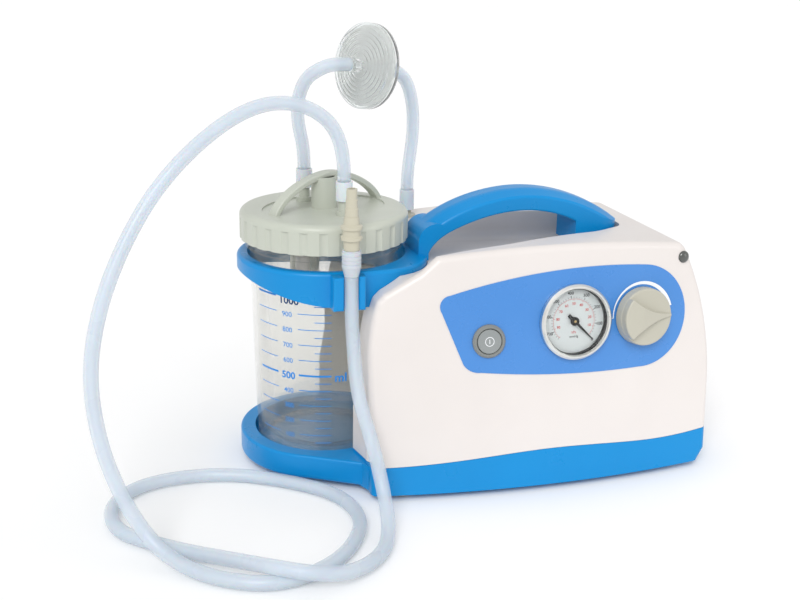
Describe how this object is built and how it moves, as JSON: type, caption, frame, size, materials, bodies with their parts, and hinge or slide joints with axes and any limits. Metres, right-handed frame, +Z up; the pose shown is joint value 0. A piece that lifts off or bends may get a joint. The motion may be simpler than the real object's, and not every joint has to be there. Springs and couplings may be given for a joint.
{
  "type": "portable suction pump",
  "caption": "Portable electric suction pump: white casing on a blue base with a lidded collection jar, arched carrying handle, vacuum gauge, regulator knob, filter and hoses.",
  "frame": {"origin": "on the surface it stands on, at the middle of the machine's width and depth, hoses and their fittings not counted", "axes": "+Z up, +X to the pump's right as seen from its front, +Y to its back"},
  "size_m": [0.4688, 0.2772, 0.3311],
  "materials": {
    "battery": "battery case",
    "bezel_chrome": "polished bezel",
    "bezel_grey": "grey moulded plastic",
    "black_plastic": "black moulded plastic",
    "blue_shell": "moulded blue ABS, satin gloss",
    "board": "green circuit board",
    "brass": "machined brass",
    "button": "light grey moulded plastic",
    "cast": "die-cast aluminium",
    "clear": "clear moulded plastic, modelled as glass",
    "connector": "beige moulded plastic",
    "dark_lens": "smoked lens",
    "dial": "white printed dial",
    "float": "white moulded plastic",
    "knob": "beige grey moulded plastic",
    "label": "printed polycarbonate overlay",
    "lid": "pale grey-green moulded polypropylene",
    "membrane": "white filter paper",
    "needle": "black painted pointer",
    "rubber": "moulded rubber, matt",
    "silicone": "translucent silicone",
    "steel": "machined or rolled steel",
    "white_shell": "moulded white ABS, satin"
  },
  "bodies": {
    "casing": {"base_screws": "steel", "base_shell": "blue_shell", "battery_pack": "battery", "battery_strap": "steel", "button_bezel": "bezel_grey", "circuit_board": "board", "connector_sleeve": "silicone", "crankcase_cover": "steel", "cylinder_head": "cast", "dc_jack": "black_plastic", "exhaust_muffler": "black_plastic", "front_label": "label", "gauge_case": "bezel_chrome", "gauge_dial": "dial", "gauge_lens": "clear", "gauge_stem": "brass", "handle_ring": "blue_shell", "handle_screw": "steel", "hose_connector": "connector", "inlet_nozzle": "knob", "motor_can": "steel", "motor_cradle": "black_plastic", "patient_hose": "silicone", "power_switch": "black_plastic", "pump_crankcase": "cast", "pump_cylinder": "cast", "regulator_valve": "brass", "rubber_feet": "rubber", "status_lens": "dark_lens", "upper_housing": "white_shell", "vacuum_lines": "silicone", "valve_plate": "steel"},
    "regulator_knob": {"regulator_knob": "knob", "valve_stem": "brass"},
    "power_button": {"power_button": "button"},
    "gauge_needle": {"gauge_needle": "needle"},
    "lid": {"jar_lid": "lid", "lid_seal": "rubber", "float_cage": "lid", "filter_front": "clear", "filter_rear": "clear", "filter_membrane": "membrane", "vacuum_hose": "silicone", "inlet_hose": "silicone", "hose_cuffs": "silicone"},
    "jar": {"jar": "clear"},
    "overflow_float": {"overflow_float": "float"},
    "motor_rotor": {"motor_shaft": "steel", "eccentric": "brass", "cooling_fan": "black_plastic"},
    "rocking_piston": {"rocking_piston": "cast"}
  },
  "joints": [
    {"name": "power_button_press", "type": "slide", "parent": "casing", "child": "power_button", "axis": [0.0696, 0.9883, -0.1354], "range_m": [0, 0.002], "stiffness_N_per_m": 500, "springref_m": -0.001},
    {"name": "regulator_turn", "type": "hinge", "parent": "casing", "child": "regulator_knob", "pos_m": [0.1115, -0.06933, 0.1255], "axis": [0.0855, -0.9871, 0.1352], "range_deg": [0, 180]},
    {"name": "gauge_needle_turn", "type": "hinge", "parent": "casing", "child": "gauge_needle", "pos_m": [0.0564, -0.07208, 0.1259], "axis": [0.0152, -0.9906, 0.1357], "range_deg": [0, 270], "stiffness_Nm_per_rad": 0.0001, "springref_deg": -11.46},
    {"name": "jar_lift", "type": "slide", "parent": "casing", "child": "lid", "axis": [0, 0, 1], "range_m": [0, 0.18], "deforming": ["patient_hose"]},
    {"name": "jar_unscrew", "type": "hinge", "parent": "lid", "child": "jar", "pos_m": [-0.11, 0.023, 0.18], "axis": [0, 0, -1], "range_deg": [0, 360]},
    {"name": "float_rise", "type": "slide", "parent": "lid", "child": "overflow_float", "axis": [0, 0, 1], "range_m": [0, 0.012]},
    {"name": "motor_spin", "type": "hinge", "parent": "casing", "child": "motor_rotor", "pos_m": [0.084, 0.04, 0.052], "axis": [1, 0, 0], "continuous": true},
    {"name": "piston_rock", "type": "hinge", "parent": "motor_rotor", "child": "rocking_piston", "pos_m": [0.0795, 0.04, 0.0545], "axis": [1, 0, 0], "continuous": true}
  ],
  "couplings": [
    {"joint": "piston_rock", "follows": "motor_spin", "ratio": -1}
  ]
}
